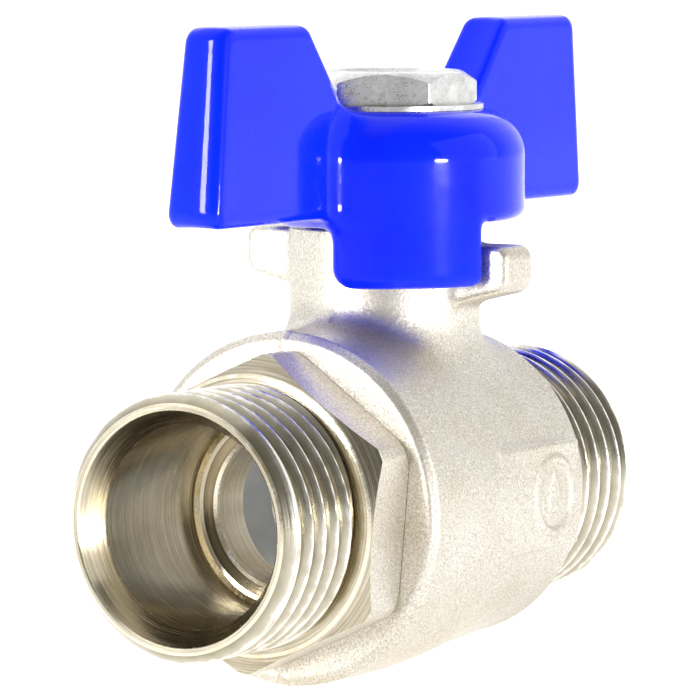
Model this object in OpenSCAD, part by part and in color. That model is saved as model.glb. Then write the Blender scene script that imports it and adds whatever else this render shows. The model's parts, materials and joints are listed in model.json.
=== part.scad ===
// Water shutoff valve: a quarter-turn ball valve with male pipe threads at both
// ends and a butterfly handle on the stem. Sizes are in millimetres.
// X runs along the flow, from the hexagon end towards the plain end. Z runs up
// the stem. The origin is the centre of the ball. The handle is drawn open.

/* [Pipe thread] */
// Major diameter of the parallel half-inch pipe thread
thread_d = 20.955; // [20.5:0.005:21.4]
// Distance from one thread to the next
thread_pitch = 1.814; // [1.7:0.002:1.85]
// Depth of the thread below its crests
thread_depth = 1.162; // [0.8:0.002:1.2]
// Number of thread grooves at the hexagon end
near_grooves = 5; // [2:1:5]
// Number of thread grooves at the plain end
far_grooves = 5; // [2:1:5]

/* [Body] */
// Distance from the ball's centre to the hexagon end's face
inlet_reach = 30.7; // [30.2:0.1:33]
// Distance from the ball's centre to the plain end's face
outlet_reach = 23.1; // [23.1:0.1:25]
// Radius of the thick collar that the end connector screws into
collar_r = 14.1; // [13.6:0.1:15]
// Radius of the barrel at its plain end
barrel_r = 12.8; // [12.6:0.05:13.5]
// Distance from the ball's centre to the body's open face
body_front = 15.4; // [15.3:0.1:16]
// Distance from the ball's centre to the shoulder before the far thread
body_back = 11.5; // [11.3:0.1:11.8]
// Radius of the neck round the stem
neck_r = 7.74; // [7.4:0.02:8.2]
// Height of the neck's rim above the flow axis
neck_top = 21.6; // [21.4:0.1:21.8]

/* [Ports] */
// Radius of the port behind the countersink
port_r = 7.97; // [7.6:0.01:8.1]
// Radius of the countersink at the port's face
countersink_r = 9.18; // [9.0:0.02:9.3]
// Radius of the waterway behind the seats
waterway_r = 6.15; // [5.9:0.05:6.6]

/* [Hexagon] */
// Width across the flats of the end connector's hexagon
hex_af = 22.5; // [21:0.5:23.5]
// Turn of the hexagon about the flow axis when screwed home
hex_clock = 5; // [-30:1:30]

/* [Ball and seats] */
// Radius of the ball
ball_r = 10; // [9.8:0.05:10.1]
// Radius of the hole through the ball
ball_bore_r = 5.5; // [5:0.1:5.5]
// Inner radius of the seat rings
seat_bore_r = 5.7; // [5.7:0.05:5.8]

/* [Stem] */
// Radius of the stem's round shaft
stem_r = 4.0; // [3.8:0.05:4.1]
// Width across the flats that drive the handle
stem_af = 5.8; // [5:0.1:6.4]
// Radius of the flange that keeps the stem from blowing out
stem_flange_r = 5.5; // [5.2:0.1:5.7]

/* [Handle] */
// Half of the handle's length at the bottom of its wings
wing_reach = 28.9; // [26:0.1:30]
// Half of the handle's length at the top of its wings
wing_top_reach = 27.4; // [24:0.1:28]
// Distance from the axis to the inner end of a wing's top
wing_inner = 16.0; // [14:0.1:18]
// Height of the wings' top edge above the flow axis
wing_top = 38.4; // [36:0.1:40]
// Thickness of a wing
wing_t = 4.6; // [3.5:0.1:5]
// Radius of the handle's hub
hub_r = 11.45; // [11:0.05:12]
// Height of the hub's flat top above the flow axis
hub_top = 31.3; // [30.5:0.1:31.5]
// Height of the stop tab's lower edge above the flow axis
tab_bottom = 17.3; // [17:0.1:19]

/* [Nut and washer] */
// Width across the flats of the handle's nut
nut_af = 13; // [12:0.5:14]
// Height of the nut
nut_h = 2.7; // [2.5:0.1:3.5]
// Radius of the flat washer
washer_r = 8; // [7.6:0.1:8.2]
// Thickness of the flat washer
washer_t = 0.4; // [0.4:0.1:0.8]

/* [Hidden] */
$fn = 96;

// Gaps: between pieces that turn on each other, and between pieces that don't move apart
run_gap = 0.06;
fit_gap = 0.05;
// How far a cutting shape runs past the face it cuts, and a joined one into its neighbour
over = 1;
sink = 0.5;
hair = 0.01;

// The thread: its lead chamfer, and its groove's half widths as shares of the pitch
thread_r = thread_d / 2;
root_r = thread_r - thread_depth;
lead_r = 9.65;
lead_len = 1.1;
crest_share = 0.42;
root_share = 0.08;
// Where each thread's first groove lies from the inlet face or from the body's shoulder
near_groove = 2.0;
far_groove = 2.4;
// The plain grooves between the threads and their shoulders
near_thread_end = 20.6;
near_runout = 0.4;
far_undercut = 0.9;
far_runout = 0.6;
countersink_len = 2.1;

// The body's outline: its open face, and its fall from the collar to the barrel
front_face_r = 13.5;
collar_chamfer = 0.6;
barrel_fall = [[collar_r, -8], [collar_r - 0.24, -4], [barrel_r + 0.5, 1], [barrel_r, 8]];
barrel_round = 1.4;

// The joint between the body and the end connector
joint_r = 11.0;
joint_start = 14.6;
joint_depth = 7.2;
joint_lead = 0.4;
joint_relief_r = 10.2;
joint_relief_len = 0.6;
chamber_r = 10.4;
chamber_half = 7.0;

// The hexagon, with its corners turned down a little and its two chamfers
hex_front = 20.4;
hex_r = hex_af / sqrt(3);
hex_face_r = 11.0;
hex_corner_r = hex_r - 0.25;
hex_front_chamfer = 1.0;
hex_back_chamfer = 0.5;

// Seats: their radius and bevel, and how far their backs and fronts are from the ball's centre
seat_r = 8.7;
seat_bevel = 1.2;
seat_front = 7.1;
inlet_seat_back = 11.8;
outlet_seat_back = 10.6;
// The step at the bottom of each port
step_outer_r = 7.36;
inlet_step = 16.2;
inlet_step_len = 0.6;
outlet_step = 14.6;
outlet_step_len = 0.5;

// Levels up the stem
slot_floor = 6.7;
slot_half = 1.75;
tang_bottom = 7.0;
tang_half_length = 4.0;
flange_bottom = 10.3;
flange_top = 12.4;
pocket_r = 5.9;
pocket_top = 13.2;
oring_z = 15.0;
oring_r = 0.6;
oring_ring_r = 3.4;
oring_side_gap = 0.1;
gland_r = 6.0;
gland_floor = 16.8;
packing_top = 18.8;
gland_top = 20.8;
key_slot_w = 1.6;
key_slot_depth = 0.9;
rim_chamfer = 0.7;
shoulder_z = 24.5;
stem_top = 33.9;
stem_thread_r = 3.9;

// The stop ears on the neck: their reach, sloping underside and rounded tip. Each pair of
// numbers is for the ear at +Y and the one at -Y, and the first is thinner towards -X.
ear_reach = 12.7;
ear_root = 5;
ear_tops = [21.4, 20.5];
ear_half = 2.2;
ear_near_halves = [1.3, 2.2];
ear_round = 1.2;
ear_tip_z = 18.3;
ear_tip_start = -70;
ear_underside = [[ear_root, 15.2], [7.5, 15.7]];

// The handle
hub_bottom = 22.4;
hub_round = 3.8;
hub_low_round = 0.8;
skirt_in_r = 9.5;
tab_gap = 0.3;
tab_side = 1.6;
tab_sink = 1.5;
// The wings' outline: lean of the outer end, slope of the inner one, and where they join the hub
wing_bottom = 23.0;
wing_low_round = 1.0;
wing_top_round = 1.5;
wing_lean = 5;
wing_slope = 138;
wing_round_in = 1.0;
wing_foot = 9;
wing_root = 6;
wing_root_z = hub_top - 1.2;

// The nut's chamfers, its countersink, and the washer's gap
nut_base_drop = 0.3;
nut_base_chamfer = 0.2;
nut_chamfer = 0.6;
nut_face_in = 0.2;
nut_countersink = 0.5;
washer_gap = 0.2;

// The flat pad on the barrel's side
pad_y = 13.25;
pad_x0 = -4.2;
pad_x1 = 8.8;
pad_half = 4.3;

// An arc between two angles, as points
function arc(c, r, a0, a1, n = 8) =
    [for (i = [0:n]) let (a = a0 + (a1 - a0) * i / n) c + r * [cos(a), sin(a)]];

// One side of a thread, as radius and place along the axis: so many grooves from start on
function thread_line(start, grooves) =
    [for (i = [0:grooves - 1],
            q = [[0, -crest_share], [1, -root_share], [1, root_share], [0, crest_share]])
        [thread_r - thread_depth * q[0], start + (i + q[1]) * thread_pitch]];

// A solid or a ring turned about the flow axis, from points of radius and place
module turned_x(points) {
    rotate([0, 90, 0])
        rotate_extrude()
            polygon(points);
}

// A plate in the XZ plane, centred on Y
module plate_xz(points, t) {
    rotate([90, 0, 0])
        linear_extrude(t, center = true)
            polygon(points);
}

// A flat ring round the stem's axis
module ring_z(r_in, r_out, z0, z1) {
    difference() {
        translate([0, 0, z0])
            cylinder(r = r_out, h = z1 - z0);
        translate([0, 0, z0 - over])
            cylinder(r = r_in, h = z1 - z0 + 2 * over);
    }
}

// A plate with two flats, used for the stem's top and the handle's hole
module double_d(r, af, z0, z1) {
    intersection() {
        translate([0, 0, z0])
            cylinder(r = r, h = z1 - z0);
        translate([-2 * r, -af / 2, z0])
            cube([4 * r, af, z1 - z0]);
    }
}

// The body's outside, turned about the flow axis
module body_outside() {
    runout = body_back + far_undercut;
    turned_x(concat(
        [[0, -body_front], [front_face_r, -body_front], [collar_r, -body_front + collar_chamfer]],
        barrel_fall,
        arc([barrel_r - barrel_round, body_back - barrel_round], barrel_round, 0, 90),
        [[root_r, body_back], [root_r, runout], [thread_r, runout + far_runout]],
        thread_line(body_back + far_groove, far_grooves),
        [[thread_r, outlet_reach - lead_len], [lead_r, outlet_reach], [0, outlet_reach]]));
}

// The waterway, the ball's chamber and the far port
module body_inside() {
    turned_x([[0, -body_front - over], [joint_r + fit_gap, -body_front - over],
        [joint_r + fit_gap, -chamber_half], [chamber_r, -chamber_half],
        [chamber_r, chamber_half], [seat_r + fit_gap, chamber_half],
        [seat_r + fit_gap, outlet_seat_back], [waterway_r, outlet_seat_back],
        [waterway_r, outlet_step - outlet_step_len], [step_outer_r, outlet_step - outlet_step_len],
        [port_r, outlet_step], [port_r, outlet_reach - countersink_len],
        [countersink_r, outlet_reach], [countersink_r, outlet_reach + over],
        [0, outlet_reach + over]]);
}

// One stop ear: at +Y when i is 0, and at -Y when it is 1
module stop_ear(i) {
    tip = ear_reach - ear_round;
    rotate([90, 0, 90 - 180 * i])
        translate([0, 0, -ear_near_halves[i]])
            linear_extrude(ear_near_halves[i] + ear_half)
                polygon(concat(ear_underside,
                    arc([tip, ear_tip_z], ear_round, ear_tip_start, 0),
                    arc([tip, ear_tops[i] - ear_round], ear_round, 0, 90),
                    [[ear_root, ear_tops[i]]]));
}

// Body: barrel, neck, ears, side pad and the far thread in one forging
module valve_body() {
    color([0.86, 0.84, 0.79])
        difference() {
            union() {
                body_outside();
                cylinder(r = neck_r, h = neck_top);
                stop_ear(0);
                stop_ear(1);
                translate([pad_x0, -pad_y, -pad_half])
                    cube([pad_x1 - pad_x0, pad_y / 2, 2 * pad_half]);
            }
            body_inside();
            cylinder(r = pocket_r, h = pocket_top);
            cylinder(r = stem_r + run_gap, h = neck_top);
            translate([0, 0, gland_floor])
                cylinder(r = gland_r, h = neck_top);
            translate([0, 0, neck_top - rim_chamfer])
                cylinder(r1 = gland_r, r2 = gland_r + rim_chamfer + hair, h = rim_chamfer + hair);
        }
}

// End connector: near thread, hexagon, and the spigot that screws into the body
module end_connector() {
    color([0.86, 0.84, 0.79])
        difference() {
            union() {
                turned_x(concat(
                    [[0, -inlet_reach], [lead_r, -inlet_reach], [thread_r, -inlet_reach + lead_len]],
                    thread_line(-inlet_reach + near_groove, near_grooves),
                    [[thread_r, -near_thread_end], [root_r, -near_thread_end + near_runout],
                        [root_r, -body_front], [joint_relief_r, -body_front],
                        [joint_relief_r, -joint_start - joint_relief_len], [joint_r, -joint_start],
                        [joint_r, -joint_depth - joint_lead], [joint_r - joint_lead, -joint_depth],
                        [0, -joint_depth]]));
                intersection() {
                    rotate([hex_clock, 0, 0])
                        translate([-hex_front, 0, 0])
                            rotate([0, 90, 0])
                                cylinder(r = hex_r, h = hex_front - body_front - fit_gap, $fn = 6);
                    turned_x([[0, -hex_front], [hex_face_r, -hex_front],
                        [hex_corner_r, -hex_front + hex_front_chamfer],
                        [hex_corner_r, -body_front - fit_gap - hex_back_chamfer],
                        [hex_corner_r - hex_back_chamfer, -body_front - fit_gap],
                        [0, -body_front - fit_gap]]);
                }
            }
            turned_x([[0, -inlet_reach - over], [countersink_r, -inlet_reach - over],
                [countersink_r, -inlet_reach], [port_r, -inlet_reach + countersink_len],
                [port_r, -inlet_step], [step_outer_r, -inlet_step + inlet_step_len],
                [waterway_r, -inlet_step + inlet_step_len], [waterway_r, -inlet_seat_back],
                [seat_r + fit_gap, -inlet_seat_back], [seat_r + fit_gap, -joint_depth + over],
                [0, -joint_depth + over]]);
        }
}

// Ball: bored through, with a slot across its top for the stem's tang
module ball() {
    color([0.82, 0.83, 0.85])
        difference() {
            sphere(r = ball_r);
            rotate([0, 90, 0])
                cylinder(r = ball_bore_r, h = 2 * ball_r + over, center = true);
            translate([-slot_half, -ball_r, slot_floor])
                cube([2 * slot_half, 2 * ball_r, ball_r]);
        }
}

// Seat ring: dished to the ball, with a bevel at the waterway
module seat(back) {
    color([0.80, 0.84, 0.90])
        difference() {
            turned_x([[seat_bore_r, -back + seat_bevel], [waterway_r, -back], [seat_r, -back],
                [seat_r, -seat_front], [seat_bore_r, -seat_front]]);
            sphere(r = ball_r + run_gap);
        }
}

// Seat on the side that the end connector presses
module inlet_seat() {
    seat(inlet_seat_back);
}

// Seat in the body's own pocket
module outlet_seat() {
    rotate([0, 0, 180])
        seat(outlet_seat_back);
}

// Stem: tang, flange, grooved shaft, driving flats and threaded top
module stem() {
    color([0.85, 0.76, 0.50]) {
        difference() {
            union() {
                translate([-slot_half + run_gap, -tang_half_length, tang_bottom])
                    cube([2 * (slot_half - run_gap), 2 * tang_half_length,
                        flange_bottom - tang_bottom + sink]);
                translate([0, 0, flange_bottom])
                    cylinder(r = stem_flange_r, h = flange_top - flange_bottom);
                translate([0, 0, flange_bottom])
                    cylinder(r = stem_r, h = shoulder_z - flange_bottom);
                double_d(stem_r, stem_af, shoulder_z - over, hub_top);
                double_d(stem_thread_r, stem_af, hub_top - over, stem_top);
            }
            ring_z(oring_ring_r - oring_r, stem_r + over, oring_z - oring_r - oring_side_gap,
                oring_z + oring_r + oring_side_gap);
        }
    }
}

// Slippery washer between the stem's flange and the body
module stem_thrust_washer() {
    color([0.93, 0.93, 0.92])
        ring_z(stem_r + run_gap, pocket_r - run_gap, flange_top + run_gap, pocket_top);
}

// Rubber ring in the stem's groove
module stem_oring() {
    color([0.08, 0.08, 0.09])
        translate([0, 0, oring_z])
            rotate_extrude()
                translate([oring_ring_r, 0])
                    circle(r = oring_r, $fn = 48);
}

// Soft packing under the gland nut
module packing_ring() {
    color([0.93, 0.93, 0.92])
        ring_z(stem_r + run_gap, gland_r - fit_gap, gland_floor, packing_top);
}

// Gland nut: a threaded ring with a slot across its top for a key
module gland_nut() {
    color([0.85, 0.76, 0.50])
        difference() {
            ring_z(stem_r + run_gap, gland_r - fit_gap, packing_top + fit_gap, gland_top);
            translate([-gland_r, -key_slot_w / 2, gland_top - key_slot_depth])
                cube([2 * gland_r, key_slot_w, over]);
        }
}

// One wing of the handle, on the side that s gives
module wing(s) {
    outline = concat(
        [[wing_root, wing_bottom]],
        arc([wing_reach - wing_low_round, wing_bottom + wing_low_round], wing_low_round, -90, wing_lean),
        arc([wing_top_reach - wing_top_round, wing_top - wing_top_round], wing_top_round, wing_lean, 90),
        arc([wing_inner + wing_round_in, wing_top - wing_top_round], wing_top_round, 90, wing_slope),
        [[wing_foot, wing_root_z], [wing_root, wing_root_z]]);
    plate_xz([for (p = outline) [s * p[0], p[1]]], wing_t);
}

// Hub of the handle: a rounded cap with a hollow underneath
module hub() {
    difference() {
        rotate_extrude()
            polygon(concat(
                [[0, hub_bottom], [hub_r - hub_low_round, hub_bottom]],
                arc([hub_r - hub_low_round, hub_bottom + hub_low_round], hub_low_round, -90, 0),
                arc([hub_r - hub_round, hub_top - hub_round], hub_round, 0, 90),
                [[0, hub_top]]));
        translate([0, 0, hub_bottom - over])
            cylinder(r = skirt_in_r, h = shoulder_z - hub_bottom + over);
    }
}

// Stop tab: a quarter of the skirt that hangs down between the ears
module stop_tab() {
    edge = ear_half + tab_gap;
    intersection() {
        ring_z(skirt_in_r, hub_r, tab_bottom, hub_bottom + tab_sink);
        translate([-2 * hub_r - edge, -2 * hub_r - tab_side, 0])
            cube([2 * hub_r, 2 * hub_r, hub_top]);
    }
}

// Handle: hub, two wings and the stop tab, with a hole that fits the stem's flats
module handle() {
    color([0.09, 0.22, 0.95])
        difference() {
            union() {
                hub();
                wing(1);
                wing(-1);
                stop_tab();
            }
            double_d(stem_r + fit_gap, stem_af + 2 * fit_gap, 0, hub_top + over);
        }
}

// Thin washer under the nut
module flat_washer() {
    color([0.78, 0.79, 0.80])
        ring_z(stem_r + washer_gap, washer_r, hub_top, hub_top + washer_t);
}

// Nut: hexagon with turned chamfers and a countersunk thread
module handle_nut() {
    base = hub_top + washer_t;
    top = base + nut_h;
    nut_r = nut_af / sqrt(3);
    hole_r = stem_thread_r + fit_gap;
    color([0.75, 0.76, 0.77])
        difference() {
            intersection() {
                translate([0, 0, base])
                    cylinder(r = nut_r, h = nut_h, $fn = 6);
                rotate_extrude()
                    polygon([[0, base], [nut_r - nut_base_drop, base], [nut_r, base + nut_base_chamfer],
                        [nut_r, top - nut_chamfer], [nut_af / 2 - nut_face_in, top], [0, top]]);
            }
            translate([0, 0, base - over])
                cylinder(r = hole_r, h = nut_h + 2 * over);
            translate([0, 0, top - nut_countersink])
                cylinder(r1 = hole_r, r2 = hole_r + nut_countersink + hair, h = nut_countersink + hair);
        }
}

valve_body();
end_connector();
ball();
inlet_seat();
outlet_seat();
stem();
stem_thrust_washer();
stem_oring();
packing_ring();
gland_nut();
handle();
flat_washer();
handle_nut();
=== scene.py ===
"""Looks of a quarter-turn ball valve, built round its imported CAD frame.

Lengths in this script are millimetres until a mesh is made, and metres after that.
X runs along the flow, Z up the stem, and the ball's centre is the origin."""
import json
import math

import bpy
import numpy as np
from mathutils import Matrix, Vector


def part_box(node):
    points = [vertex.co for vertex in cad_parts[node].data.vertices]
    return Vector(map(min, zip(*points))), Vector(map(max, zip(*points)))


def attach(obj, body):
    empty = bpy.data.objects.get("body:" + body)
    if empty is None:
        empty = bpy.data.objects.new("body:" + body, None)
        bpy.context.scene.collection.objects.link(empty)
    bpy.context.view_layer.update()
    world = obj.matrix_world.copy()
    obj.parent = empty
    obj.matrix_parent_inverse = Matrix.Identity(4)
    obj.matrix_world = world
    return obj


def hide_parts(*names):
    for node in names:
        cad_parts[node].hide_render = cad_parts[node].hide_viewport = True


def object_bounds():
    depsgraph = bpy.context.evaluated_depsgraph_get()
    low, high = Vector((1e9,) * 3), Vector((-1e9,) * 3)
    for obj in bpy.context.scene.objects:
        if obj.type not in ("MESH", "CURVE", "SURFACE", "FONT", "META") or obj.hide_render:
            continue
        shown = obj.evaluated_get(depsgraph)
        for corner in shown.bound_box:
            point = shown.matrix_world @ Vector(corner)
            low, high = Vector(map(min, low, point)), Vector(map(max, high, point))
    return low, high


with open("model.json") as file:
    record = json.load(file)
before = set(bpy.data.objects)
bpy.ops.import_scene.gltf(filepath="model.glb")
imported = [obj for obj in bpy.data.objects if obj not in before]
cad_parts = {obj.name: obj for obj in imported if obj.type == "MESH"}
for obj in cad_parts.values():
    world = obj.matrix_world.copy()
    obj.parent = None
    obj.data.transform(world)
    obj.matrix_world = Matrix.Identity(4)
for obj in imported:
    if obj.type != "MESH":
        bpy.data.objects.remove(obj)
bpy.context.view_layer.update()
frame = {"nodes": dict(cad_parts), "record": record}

MM = 0.001


def box_mm(node):
    """Lowest and highest corner of a CAD node, in millimetres."""
    return [np.array(corner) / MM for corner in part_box(node)]


# ---------------------------------------------------------------- sizes from the frame
MOUNTS = {m["name"]: m for m in frame["record"]["mounts"]}
BODY_LOW, BODY_HIGH = box_mm("valve_body")
CONNECTOR_LOW, CONNECTOR_HIGH = box_mm("end_connector")
HANDLE_LOW, HANDLE_HIGH = box_mm("handle")
NUT_LOW, NUT_HIGH = box_mm("handle_nut")

INLET = CONNECTOR_LOW[0]
OUTLET = BODY_HIGH[0]
BODY_FRONT = BODY_LOW[0]
COLLAR_R = -BODY_LOW[2]
NECK_TOP = BODY_HIGH[2]
THREAD_R = MOUNTS["inlet_thread"]["dims"]["r_mm"]
BALL_BORE_R = MOUNTS["flow_bore"]["dims"]["r_mm"]
WING_REACH = HANDLE_HIGH[0]
WING_TOP = HANDLE_HIGH[2]
TAB_BOTTOM = HANDLE_LOW[2]
HUB_R = HANDLE_HIGH[1]
HUB_TOP = box_mm("flat_washer")[0][2]
STEM_TOP = box_mm("stem")[1][2]
NUT_AF = NUT_HIGH[1] - NUT_LOW[1]
SPIGOT_END = CONNECTOR_HIGH[0]

# The half-inch parallel pipe thread
PITCH = 1.814
THREAD_DEPTH = 1.162
LEAD_DROP = 0.83
LEAD_LENGTH = 0.95

# Body and ports
BODY_BACK = 11.5
BARREL_R = 12.8
NECK_R = 7.74
PORT_R = 7.97
COUNTERSINK_R = 9.18
COUNTERSINK_LENGTH = 2.1
STEP_R = 7.36
INLET_STEP = -15.6
OUTLET_STEP = 14.1
WATERWAY_R = 6.15
CHAMBER_R = 10.4
CHAMBER_HALF = 7.0

# Stop ears at +Y and -Y, and the pad with its mark on the barrel's side
EAR_TOPS = (21.4, 20.5)
EAR_NEAR_HALVES = (1.3, 2.2)
EAR_FAR_HALF = 2.2
EAR_REACH = 12.7
EAR_DEPTH = 3.8
PAD_X = 2.3
PAD_HALF_LENGTH = 6.5
PAD_HALF_HEIGHT = 4.3
PAD_Y = -12.88
MARK_X = 4.6
MARK_Y = -13.0
MARK_R = 3.0

# End connector and the joint where it screws into the body
JOINT_R = 11.05
SPIGOT_R = 11.0
SPIGOT_START = -14.6
RELIEF_R = 10.2
RELIEF_END = -15.2
NEAR_THREAD_END = -20.75
HEX_FRONT = -20.4
HEX_AF = 22.5
HEX_TURN = math.radians(5)

# Ball, seats and stem
BALL_R = 10.0
BALL_SLOT_HALF = 1.75
BALL_SLOT_FLOOR = 6.7
SEAT_R = 8.7
SEAT_BORE_R = 5.7
SEAT_FRONT = 7.1
INLET_SEAT_BACK = 11.8
OUTLET_SEAT_BACK = 10.6
STEM_R = 4.0
STEM_THREAD_R = 3.9
STEM_HOLE_R = 4.06
FLANGE_LOW, FLANGE_HIGH, FLANGE_R = 10.3, 12.4, 5.5
GROOVE_LOW, GROOVE_HIGH, GROOVE_R = 14.3, 15.7, 2.8
FLATS_LOW = 24.5
FLAT_HALF = 2.9
GLAND_THREAD_R = 6.2

# Handle and nut
HUB_ROUND = 3.8
HUB_UNDERSIDE = 22.4
HOLLOW_R = 9.4
HOLLOW_TOP = 24.5
TAB_X, TAB_Y = -2.5, -1.6
WING_BOTTOM = 23.0
WING_TOP_REACH = 27.45
WING_INNER = 15.5
WING_SLOPE_REACH, WING_SLOPE_Z = 8.6, 29.8
WING_HALF = 2.5
WING_TAPER = 0.031
NUT_HOLE_R = 3.98
# The handle has rocked a little on the stem's flats, towards -Y
HANDLE_LEAN = 0.03

# Facets round a turned piece
SEGMENTS = 256

# The camera: where it stands, where it looks (anticlockwise from +X, and upwards), and its lens
CAMERA_PLACE = (-352.3, -215.6, 47.7)
CAMERA_YAW = 31.86
CAMERA_PITCH = -5.0
CAMERA_LENS = 261.5
LIGHT_DISTANCE = 0.9


# ---------------------------------------------------------------- mesh tools
def new_object(name, vertices, faces, materials, face_material=None):
    """A mesh object from points in millimetres, with its materials."""
    mesh = bpy.data.meshes.new(name)
    mesh.from_pydata((np.asarray(vertices) * MM).tolist(), [], faces)
    for material in materials:
        mesh.materials.append(material)
    if face_material is not None:
        mesh.polygons.foreach_set("material_index", np.asarray(face_material, np.int32))
    mesh.update()
    piece = bpy.data.objects.new(name, mesh)
    bpy.context.scene.collection.objects.link(piece)
    if signed_volume(piece) < 0:
        mesh.flip_normals()
    return piece


def smooth(piece, sharp_deg=35):
    """Smooth shading, with every edge over that angle kept crisp."""
    piece.data.polygons.foreach_set("use_smooth", np.ones(len(piece.data.polygons), bool))
    piece.data.set_sharp_from_angle(angle=math.radians(sharp_deg))
    piece.modifiers.new("even_normals", "WEIGHTED_NORMAL").keep_sharp = True
    return piece


class Outline:
    """A turned outline, built point by point. Each stretch has the number of its finish."""

    def __init__(self, place, radius):
        self.points = [(place, radius, None)]
        self.finishes = []

    def to(self, place, radius, finish=0, thread=None):
        self.points.append((place, radius, thread))
        self.finishes.append(finish)
        return self

    def arc(self, place, radius, size, start, end, finish=0, steps=6):
        """An arc round (place, radius), with angles in degrees from the axis's direction."""
        for angle in np.radians(np.linspace(start, end, steps + 1)):
            self.to(place + size * math.cos(angle), radius + size * math.sin(angle), finish)
        return self

    def threaded(self, start, end, radius, thread, finish=0, step=0.04):
        """A threaded stretch. radius(place) holds it back, as at a lead chamfer."""
        for place in np.linspace(start, end, int(abs(end - start) / step) + 2):
            self.to(place, radius(place), finish, thread)
        return self


def helix(pitch, crest, depth, first=-math.inf, last=math.inf, offset=0.0, sides=1.2, softness=0.25):
    """A right-handed thread along the outline's axis: its radius at places and angles.
    The groove runs out to nothing at the first and last place."""
    def radius(place, angles):
        phase = np.mod((place - offset) / pitch - angles / (2 * math.pi), 1)
        rise = np.clip((0.5 - np.abs(2 * phase - 1)) * sides + 0.5, 0, 1)
        rise = rise - softness * np.sin(2 * math.pi * rise) / (2 * math.pi)
        return crest - depth * rise * min(1, max(0, place - first), max(0, last - place))
    return radius


def turned(name, outline, materials, axis="x", segments=SEGMENTS, ring=False):
    """A turned piece. Its outline runs from the axis back to it, or closes on itself."""
    angles = np.arange(segments) * 2 * math.pi / segments
    vertices, rows = [], []
    for place, radius, thread in outline.points:
        if radius <= 0:
            rows.append([len(vertices)])
            vertices.append((place, 0.0, 0.0))
            continue
        rows.append(range(len(vertices), len(vertices) + segments))
        r = np.full(segments, radius)
        if thread:
            r = np.minimum(r, thread(place, angles))
        vertices.extend(zip(np.full(segments, place), r * np.cos(angles), r * np.sin(angles)))
    faces, finishes = [], []
    pairs = list(zip(rows, rows[1:])) + ([(rows[-1], rows[0])] if ring else [])
    for i, (a, b) in enumerate(pairs):
        for k in range(segments):
            n = (k + 1) % segments
            if len(a) == 1:
                faces.append((a[0], b[k], b[n]))
            elif len(b) == 1:
                faces.append((a[k], b[0], a[n]))
            else:
                faces.append((a[k], b[k], b[n], a[n]))
        finish = outline.finishes[i] if i < len(outline.finishes) else 0
        finishes += [finish] * segments
    points = np.array(vertices)
    if axis == "z":
        points = points[:, [1, 2, 0]]
    return new_object(name, points, faces, materials, finishes)


def signed_volume(piece):
    """Volume inside a closed mesh, below zero if its faces look inwards."""
    mesh = piece.data
    mesh.calc_loop_triangles()
    corners = np.zeros(len(mesh.loop_triangles) * 3, np.int32)
    mesh.loop_triangles.foreach_get("vertices", corners)
    points = np.zeros(len(mesh.vertices) * 3)
    mesh.vertices.foreach_get("co", points)
    a, b, c = points.reshape(-1, 3)[corners.reshape(-1, 3)].transpose(1, 0, 2)
    return float(np.einsum("ij,ij->", a, np.cross(b, c)))


def combine(piece, other, operation):
    """Applies a boolean of piece with other, and removes other."""
    modifier = piece.modifiers.new("combine", "BOOLEAN")
    modifier.operation = operation
    modifier.solver = "MANIFOLD"
    modifier.object = other
    evaluated = piece.evaluated_get(bpy.context.evaluated_depsgraph_get())
    mesh = bpy.data.meshes.new_from_object(evaluated)
    old = piece.data
    name = old.name
    piece.modifiers.clear()
    piece.data = mesh
    bpy.data.meshes.remove(old)
    mesh.name = name
    bpy.data.objects.remove(other)
    if not len(mesh.polygons):
        raise RuntimeError(f"the {operation} on {piece.name} left nothing")
    return piece


def prism(name, outline, depth, materials, place=(0, 0, 0), turn=Matrix.Identity(3), material=0):
    """An outline in its own XY plane, pushed along Z by depth, then turned and placed."""
    n = len(outline)
    low = [(u, v, 0) for u, v in outline]
    high = [(u, v, depth) for u, v in outline]
    faces = [tuple(range(n))[::-1], tuple(range(n, 2 * n))]
    faces += [(i, (i + 1) % n, (i + 1) % n + n, i + n) for i in range(n)]
    points = np.array(low + high) @ np.array(turn).T + np.array(place)
    return new_object(name, points, faces, materials, [material] * len(faces))


def rounded_polygon(corners, radius, steps=6):
    """A convex outline with its corners rounded to that radius."""
    points, n = [], len(corners)
    for i in range(n):
        before, here, after = (np.array(corners[(i + k) % n], float) for k in (-1, 0, 1))
        a = (before - here) / np.linalg.norm(before - here)
        b = (after - here) / np.linalg.norm(after - here)
        half = math.acos(np.clip(a @ b, -1, 1)) / 2
        centre = here + (a + b) / np.linalg.norm(a + b) * radius / math.sin(half)
        start = here + a * radius / math.tan(half) - centre
        end = here + b * radius / math.tan(half) - centre
        for t in np.linspace(0, 1, steps + 1):
            d = start * (1 - t) + end * t
            points.append(tuple(centre + d / np.linalg.norm(d) * radius))
    return points


# ---------------------------------------------------------------- smooth shapes from distance fields
def outline_distance(u, v, points):
    """Signed distance to a closed outline, below zero inside."""
    nearest = np.full(u.shape, 1e18)
    sign = np.ones(u.shape)
    for (ax, ay), (bx, by) in zip(points, points[1:] + points[:1]):
        ex, ey = bx - ax, by - ay
        wx, wy = u - ax, v - ay
        t = np.clip((wx * ex + wy * ey) / (ex * ex + ey * ey), 0, 1)
        nearest = np.minimum(nearest, (wx - ex * t) ** 2 + (wy - ey * t) ** 2)
        above, below, left = v >= ay, v < by, ex * wy > ey * wx
        sign = np.where((above & below & left) | ~(above | below | left), -sign, sign)
    return sign * np.sqrt(nearest)


def pushed(flat, height, half, radius):
    """A flat shape's distance pushed to a thickness, with every edge rounded to radius."""
    a, b = flat + radius, np.abs(height) - half + radius
    outside = np.sqrt(np.maximum(a, 0) ** 2 + np.maximum(b, 0) ** 2)
    return np.minimum(np.maximum(a, b), 0) + outside - radius


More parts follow.
